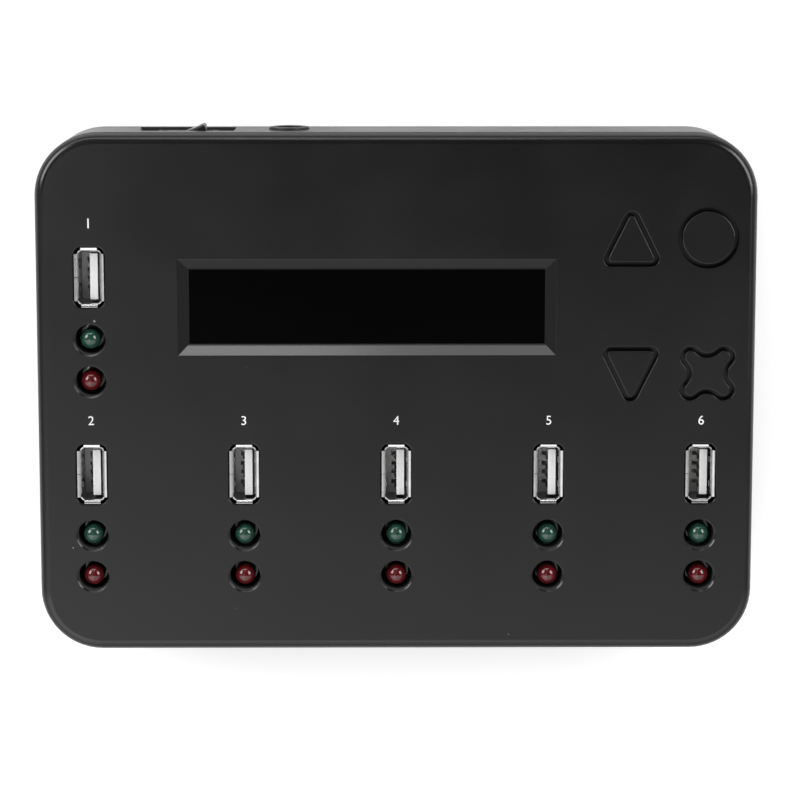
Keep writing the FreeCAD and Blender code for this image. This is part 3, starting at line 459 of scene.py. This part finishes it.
def lens_resin(name, colour):
    """Tinted lamp resin, glossy and slightly cloudy."""
    material, tree, shader = start_material(
        name, IOR=1.54, Specular_IOR_Level=0.6, Subsurface_Weight=0.3, Subsurface_Scale=0.0015,
    )
    shader.inputs["Subsurface Radius"].default_value = (1.0, 1.0, 1.0)
    cloud = add_node(
        tree, "ShaderNodeTexNoise", {"Vector": object_point(tree), "Scale": 700.0, "Detail": 3.0},
    )
    clouded = span(tree, cloud.outputs["Fac"], 0.3, 0.7)
    tone = blend_colours(tree, clouded, opaque(colour, 0.8), opaque(colour, 1.25))
    tree.links.new(tone, shader.inputs["Base Color"])
    tree.links.new(span(tree, clouded, 0.0, 1.0, 0.05, 0.1), shader.inputs["Roughness"])
    return material


def circuit_board(name):
    """Green solder mask over copper tracks, with tinned pads."""
    material, tree, shader = start_material(name)
    copper = effect(tree, "board_tracks")
    mask = blend_colours(tree, copper["Track"], mask_tone, track_tone)
    tone = blend_colours(tree, copper["Pad"], mask, pad_tone)
    tree.links.new(tone, shader.inputs["Base Color"])
    tree.links.new(copper["Pad"], shader.inputs["Metallic"])
    tree.links.new(span(tree, copper["Pad"], 0.0, 1.0, 0.22, 0.35), shader.inputs["Roughness"])
    bump(tree, shader, copper["Track"], strength=0.4, distance=0.00003)
    return material


def brick_mask(tree, point, origin, size, gap):
    """One inside every cell of a straight grid and nought in the gaps between cells."""
    placed = add_node(
        tree, "ShaderNodeMapping", {"Vector": point, "Location": (-origin[0], -origin[1], 0.0)},
    )
    made = add_node(
        tree, "ShaderNodeTexBrick",
        {
            "Vector": placed.outputs["Vector"], "Scale": 1.0, "Mortar Size": gap,
            "Mortar Smooth": 0.0, "Brick Width": size[0], "Row Height": size[1],
        },
        offset=0.0,
    )
    return calculate(tree, "SUBTRACT", 1.0, made.outputs["Fac"])


def display_cells(name, origin):
    """Unlit character display: two rows of faint dot cells behind dark glass."""
    material, tree, shader = start_material(name, Roughness=0.06, Coat_Weight=0.3)
    scaled = add_node(
        tree, "ShaderNodeVectorMath", {0: object_point(tree), "Scale": 1 / millimetre},
        operation="SCALE",
    )
    place = (origin[0] / millimetre, origin[1] / millimetre)
    cells = brick_mask(tree, scaled.outputs["Vector"], place, cell_size, cell_gap)
    dots = brick_mask(tree, scaled.outputs["Vector"], place, dot_size, dot_gap)
    tone = blend_colours(tree, calculate(tree, "MULTIPLY", cells, dots), glass_tone, dot_tone)
    tree.links.new(tone, shader.inputs["Base Color"])
    return material


def wire_cover(name, colour):
    """Soft extruded insulation with fine rings along its length."""
    material, tree, shader = start_material(name, Roughness=0.42)
    rings = add_node(
        tree, "ShaderNodeTexWave", {"Vector": object_point(tree), "Scale": 260.0, "Distortion": 1.5},
        bands_direction="Y",
    )
    tone = blend_colours(tree, rings.outputs["Fac"], opaque(colour, 0.85), opaque(colour))
    tree.links.new(tone, shader.inputs["Base Color"])
    bump(tree, shader, rings.outputs["Fac"], strength=0.15, distance=0.00002)
    return material


def bevel_box():
    """The corners of the box round the window's bevel."""
    pane_low, pane_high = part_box("display_window")
    border = Vector((bevel_inset, bevel_inset, 0))
    top = Vector((pane_high.x, pane_high.y, cad_high.z + bevel_rise))
    return pane_low + border, top - border


def well_boxes():
    """The corners of a box for each column, round the wells of its two lamps, in which the cover is
    painted paler: painted light on the wells' walls.
    """
    border = Vector((well_border, well_border, 0))
    boxes = []
    for number in range(1, port_count + 1):
        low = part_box("red_lamp_" + str(number))[0] - border
        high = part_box("green_lamp_" + str(number))[1] + border
        high.z = cad_high.z - well_edge_depth
        boxes.append((low, high))
    return boxes


# The shells below their mouths, where the steel is painted darker: painted shade
painted_shade_insides = (cad_low, cad_high - Vector((0, 0, shell_mouth_depth)))
glass_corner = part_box("display_glass")[0]
first_cell = (glass_corner.x + first_cell_offset[0], glass_corner.y + first_cell_offset[1])

finishes = {
    # The cover, with painted light on the walls of its lamp wells
    "cover_black": moulded_plastic(
        "cover_black", black, 0.22, dust=0.6, polished=bevel_box(), painted_light_boxes=well_boxes(),
        matte_below=cad_high.z - matte_depth,
    ),
    "base_black": moulded_plastic("base_black", black, 0.26),
    "button_black": moulded_plastic("button_black", black, 0.22, grain=3600.0, dust=0.6),
    "window_black": polished_plastic(
        "window_black", (0.0002, 0.0002, 0.0002), 0.05, Specular_IOR_Level=0.06,
    ),
    "foot_rubber": moulded_plastic(
        "foot_rubber", (0.02, 0.02, 0.02), 0.72, grain=1800.0, depth=0.00004,
    ),
    "screw_black": sheet_metal("screw_black", (0.09, 0.09, 0.095), 0.4),
    "small_screw_steel": sheet_metal("small_screw_steel", (0.62, 0.62, 0.6), 0.3),
    # Socket shells, with painted shade inside them below their mouths
    "socket_steel": sheet_metal(
        "socket_steel", (0.82, 0.82, 0.83), 0.18, depth=0.000002, painted_shade_box=painted_shade_insides,
    ),
    "socket_white": moulded_plastic("socket_white", (0.78, 0.78, 0.775), 0.42, grain=2500.0, rub=0.0),
    "contact_gold": sheet_metal("contact_gold", (0.5, 0.45, 0.36), 0.35),
    "green_lens": lens_resin("green_lens", (0.011, 0.051, 0.033)),
    "red_lens": lens_resin("red_lens", (0.082, 0.0015, 0.0035)),
    "lead_tin": sheet_metal("lead_tin", (0.72, 0.72, 0.7), 0.32),
    "board_green": circuit_board("board_green"),
    "chip_black": moulded_plastic("chip_black", (0.018, 0.018, 0.019), 0.6, grain=5000.0),
    "crystal_can": sheet_metal("crystal_can", (0.7, 0.7, 0.68), 0.22),
    "coil_grey": moulded_plastic(
        "coil_grey", (0.09, 0.09, 0.095), 0.7, grain=2200.0, depth=0.00005,
    ),
    "capacitor_can": sheet_metal("capacitor_can", (0.74, 0.74, 0.73), 0.28),
    "display_glass": display_cells("display_glass", first_cell),
    "display_backlight": moulded_plastic("display_backlight", (0.7, 0.72, 0.6), 0.5, rub=0.0),
    "display_frame": moulded_plastic("display_frame", (0.012, 0.012, 0.013), 0.35, grain=4000.0),
    "header_plastic": moulded_plastic("header_plastic", (0.02, 0.02, 0.02), 0.5),
    "switch_black": moulded_plastic("switch_black", (0.022, 0.022, 0.022), 0.5),
    "rocker_black": polished_plastic("rocker_black", (0.008, 0.008, 0.008), 0.24),
    "wire_red": wire_cover("wire_red", (0.5, 0.015, 0.012)),
    "jack_black": moulded_plastic("jack_black", (0.014, 0.014, 0.014), 0.4),
    "print_white": moulded_plastic("print_white", (0.8, 0.8, 0.79), 0.55, grain=6000.0, rub=0.0),
}

node_finishes = {
    "top_cover": "cover_black",
    "bottom_cover": "base_black",
    "display_window": "window_black",
    "rubber_feet": "foot_rubber",
    "cover_screws": "screw_black",
    "small_screws": "small_screw_steel",
    "display_glass": "display_glass",
    "display_backlight": "display_backlight",
    "display_frame": "display_frame",
    "display_board": "board_green",
    "display_header": "header_plastic",
    "display_header_pins": "contact_gold",
    "main_board": "board_green",
    "controller_chip": "chip_black",
    "memory_chip": "chip_black",
    "port_chips": "chip_black",
    "clock_crystal": "crystal_can",
    "power_coils": "coil_grey",
    "capacitors": "capacitor_can",
    "usb_contacts": "contact_gold",
    "lamp_leads": "lead_tin",
    "button_switches": "switch_black",
    "rocker_housing": "jack_black",
    "power_rocker": "rocker_black",
    "rocker_terminals": "lead_tin",
    "power_wires": "wire_red",
    "power_jack": "jack_black",
    "power_jack_contacts": "lead_tin",
}
for shape in ("up", "down", "round", "cross"):
    node_finishes[shape + "_button"] = "button_black"
    node_finishes[shape + "_switch_plunger"] = "switch_black"
for number in range(1, port_count + 1):
    node_finishes["usb_shell_" + str(number)] = "socket_steel"
    node_finishes["usb_insulator_" + str(number)] = "socket_white"
    node_finishes["green_lamp_" + str(number)] = "green_lens"
    node_finishes["red_lamp_" + str(number)] = "red_lens"


def give_finish(piece, finish):
    piece.data.materials.clear()
    piece.data.materials.append(finishes[finish])


for name, finish in node_finishes.items():
    give_finish(nodes[name], finish)


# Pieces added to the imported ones


def final_mesh(holder):
    """The mesh that an object gives once its modifiers are done; the object itself goes."""
    bpy.context.scene.collection.objects.link(holder)
    bpy.context.view_layer.update()
    evaluated = holder.evaluated_get(bpy.context.evaluated_depsgraph_get())
    mesh = bpy.data.meshes.new_from_object(evaluated)
    bpy.data.objects.remove(holder)
    return mesh


def flat_text(text, height):
    """A mesh of printed characters, centred on the origin, standing up from z 0."""
    curve = bpy.data.curves.new("text", "FONT")
    curve.body = text
    curve.size = height / digit_height_share
    curve.align_x = "CENTER"
    curve.align_y = "CENTER"
    curve.extrude = print_thickness / 2
    holder = bpy.data.objects.new("text", curve)
    return final_mesh(holder)


def join_meshes(name, placed):
    """One object from several meshes, each with the matrix that places it."""
    vertices, faces = [], []
    for mesh, matrix in placed:
        first = len(vertices)
        vertices += [matrix @ vertex.co for vertex in mesh.vertices]
        faces += [[first + index for index in face.vertices] for face in mesh.polygons]
    joined = bpy.data.meshes.new(name)
    joined.from_pydata(vertices, [], faces)
    piece = bpy.data.objects.new(name, joined)
    bpy.context.scene.collection.objects.link(piece)
    return piece


def centre_of(node):
    low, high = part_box(node)
    return (low + high) / 2


def port_numbers():
    """Plain numbers over the sockets, printed on the face."""
    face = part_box("top_cover")[1].z + print_thickness / 2
    placed = []
    for number in range(1, port_count + 1):
        x = centre_of("usb_shell_" + str(number)).x
        y = source_digit_y if number == 1 else target_digit_y
        height = source_digit_height if number == 1 else target_digit_height
        placed.append((flat_text(str(number), height), Matrix.Translation((x, y, face))))
    piece = join_meshes("port_numbers", placed)
    give_finish(piece, "print_white")
    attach(piece, "housing")


def rocker_marks():
    """The plain on and off marks, printed on the rocker's two faces."""
    rocker = nodes["power_rocker"]
    centre = centre_of("power_rocker")
    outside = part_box("power_rocker")[1].y + 1.0
    placed = []
    for mark, side in (("I", -1), ("O", 1)):
        start = Vector((centre.x + side * rocker_mark_offset, outside, centre.z))
        _, place, normal, _ = rocker.ray_cast(start, Vector((0, -1, 0)))
        up = Vector((0, 0, 1))
        turn = Matrix((up.cross(normal), up, normal)).transposed().to_4x4()
        place += normal * print_thickness / 2
        placed.append((flat_text(mark, rocker_mark_height), Matrix.Translation(place) @ turn))
    piece = join_meshes("rocker_marks", placed)
    give_finish(piece, "print_white")
    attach(piece, "power_rocker")


def lead_ends():
    """The places under the main board where a lead comes through."""
    board_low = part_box("main_board")[0].z
    ends = []
    for name in ("lamp_leads", "usb_contacts", "display_header_pins", "button_switches"):
        for vertex in nodes[name].data.vertices:
            place = Vector((vertex.co.x, vertex.co.y, board_low))
            if vertex.co.z > board_low - solder_height:
                continue
            near = [group for group in ends if (group[0] - place).length < solder_reach]
            if near:
                near[0].append(place)
            else:
                ends.append([place])
    return [sum(group, Vector()) / len(group) for group in ends]


def solder_tree():
    """Geometry nodes that set a solder cone, foot upwards, on every point."""
    tree = bpy.data.node_groups.new("solder_cones", "GeometryNodeTree")
    tree.interface.new_socket(name="Points", in_out="INPUT", socket_type="NodeSocketGeometry")
    for label in ("Foot Radius", "Tip Radius", "Height"):
        tree.interface.new_socket(name=label, in_out="INPUT", socket_type="NodeSocketFloat")
    tree.interface.new_socket(name="Solder", in_out="OUTPUT", socket_type="NodeSocketGeometry")
    given = tree.nodes.new("NodeGroupInput").outputs
    cone = add_node(
        tree, "GeometryNodeMeshCone",
        {
            "Vertices": solder_sides, "Side Segments": 3, "Fill Segments": 2,
            "Radius Top": given["Tip Radius"], "Radius Bottom": given["Foot Radius"],
            "Depth": given["Height"],
        },
    )
    set_down = add_node(
        tree, "GeometryNodeInstanceOnPoints",
        {
            "Points": given["Points"], "Instance": cone.outputs["Mesh"],
            "Rotation": (math.pi, 0.0, 0.0),
        },
    )
    real = add_node(tree, "GeometryNodeRealizeInstances", {"Geometry": set_down.outputs["Instances"]})
    smooth = add_node(tree, "GeometryNodeSetShadeSmooth", {"Geometry": real.outputs["Geometry"]})
    coated = add_node(
        tree, "GeometryNodeSetMaterial",
        {"Geometry": smooth.outputs["Geometry"], "Material": finishes["lead_tin"]},
    )
    tree.links.new(coated.outputs["Geometry"], tree.nodes.new("NodeGroupOutput").inputs["Solder"])
    return tree


def solder_joints():
    """Tinned joints round the leads, under the main board."""
    points = bpy.data.meshes.new("lead_ends")
    points.from_pydata(lead_ends(), [], [])
    holder = bpy.data.objects.new("lead_ends", points)
    modifier = holder.modifiers.new("solder", "NODES")
    modifier.node_group = solder_tree()
    sizes = {
        "Foot Radius": solder_foot_radius, "Tip Radius": solder_tip_radius, "Height": solder_height,
    }
    for item in modifier.node_group.interface.items_tree:
        if item.name in sizes:
            modifier[item.identifier] = sizes[item.name]
    piece = bpy.data.objects.new("solder_joints", final_mesh(holder))
    bpy.context.scene.collection.objects.link(piece)
    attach(piece, "housing")


port_numbers()
rocker_marks()
solder_joints()


# Floor, lamps and camera


def seen_by_camera(tree):
    """One for rays from the camera, straight or through clear material, nought for the rest."""
    path = tree.nodes.new("ShaderNodeLightPath").outputs
    return calculate(tree, "MAXIMUM", path["Is Transmission Ray"], path["Is Camera Ray"])


def white_floor():
    """A plain pale floor that shows white to the camera and keeps the object's shadow."""
    mesh = bpy.data.meshes.new("floor")
    reach = floor_reach
    corners = [(-reach, -reach, 0), (reach, -reach, 0), (reach, reach, 0), (-reach, reach, 0)]
    mesh.from_pydata(corners, [], [(0, 1, 2, 3)])
    floor = bpy.data.objects.new("floor", mesh)
    bpy.context.scene.collection.objects.link(floor)
    material, tree, shader = start_material("floor_white", Roughness=0.9, Specular_IOR_Level=0.0)
    shader.inputs["Base Color"].default_value = floor_tone
    shader.inputs["Emission Color"].default_value = (1.0, 1.0, 1.0, 1.0)
    glow = calculate(tree, "MULTIPLY", seen_by_camera(tree), floor_glow)
    tree.links.new(glow, shader.inputs["Emission Strength"])
    mesh.materials.append(material)


def studio_world():
    """A room bright in front and dim overhead, pale at the horizon, and white to the camera."""
    world = bpy.data.worlds.new("studio")
    bpy.context.scene.world = world
    world.use_nodes = True
    tree = world.node_tree
    background = tree.nodes["Background"]
    way = axes_of(tree, tree.nodes.new("ShaderNodeTexCoord").outputs["Generated"])
    front = span(tree, way["Y"], *front_fade)
    leftward = span(tree, way["X"], *left_fade)
    upward = span(tree, way["Z"], *rise_fade)
    panel = calculate(tree, "MULTIPLY", calculate(tree, "MULTIPLY", front, leftward), upward)
    overhead = span(tree, way["Z"], *overhead_fade)
    left_glow = calculate(tree, "MULTIPLY", span(tree, way["X"], *left_glow_fade), overhead)
    rear_glow = calculate(tree, "MULTIPLY", span(tree, way["Y"], *rear_glow_fade), overhead)
    ceiling = calculate(tree, "ADD", calculate(tree, "ADD", panel, left_glow), rear_glow)
    room = calculate(tree, "MAXIMUM", ceiling, span(tree, way["Z"], *horizon_fade))
    seen = seen_by_camera(tree)
    kept = calculate(tree, "MULTIPLY", room, calculate(tree, "SUBTRACT", 1.0, seen))
    background.inputs["Color"].default_value = (1.0, 1.0, 1.0, 1.0)
    tree.links.new(calculate(tree, "ADD", kept, seen), background.inputs["Strength"])


def soft_lamp(name, turn, rise, width, height, radiance):
    """A rectangular lamp that faces the middle; its power follows from its size and brightness."""
    data = bpy.data.lights.new(name, "AREA")
    data.shape = "RECTANGLE"
    data.size, data.size_y = width, height
    data.energy = radiance * math.pi * width * height
    across, up = math.radians(turn), math.radians(rise)
    level, height_up = lamp_distance * math.cos(up), lamp_distance * math.sin(up)
    place = Vector((level * math.sin(across), -level * math.cos(across), height_up))
    lamp = bpy.data.objects.new(name, data)
    lamp.location = place
    lamp.rotation_euler = (-place).to_track_quat("-Z", "Y").to_euler()
    bpy.context.scene.collection.objects.link(lamp)


def photo_camera():
    data = bpy.data.cameras.new("camera")
    data.lens = camera_lens
    data.sensor_width = camera_sensor
    data.clip_start, data.clip_end = 0.01, 100.0
    camera = bpy.data.objects.new("camera", data)
    turn = Matrix.Identity(4)
    for axis, angle in camera_turns:
        turn = turn @ Matrix.Rotation(angle, 4, axis)
    camera.matrix_world = Matrix.Translation(camera_place) @ turn.transposed()
    bpy.context.scene.collection.objects.link(camera)
    bpy.context.scene.camera = camera


white_floor()
studio_world()
for name, setting in lamps.items():
    soft_lamp(name, *setting)
photo_camera()
bpy.context.scene.view_settings.view_transform = "Standard"
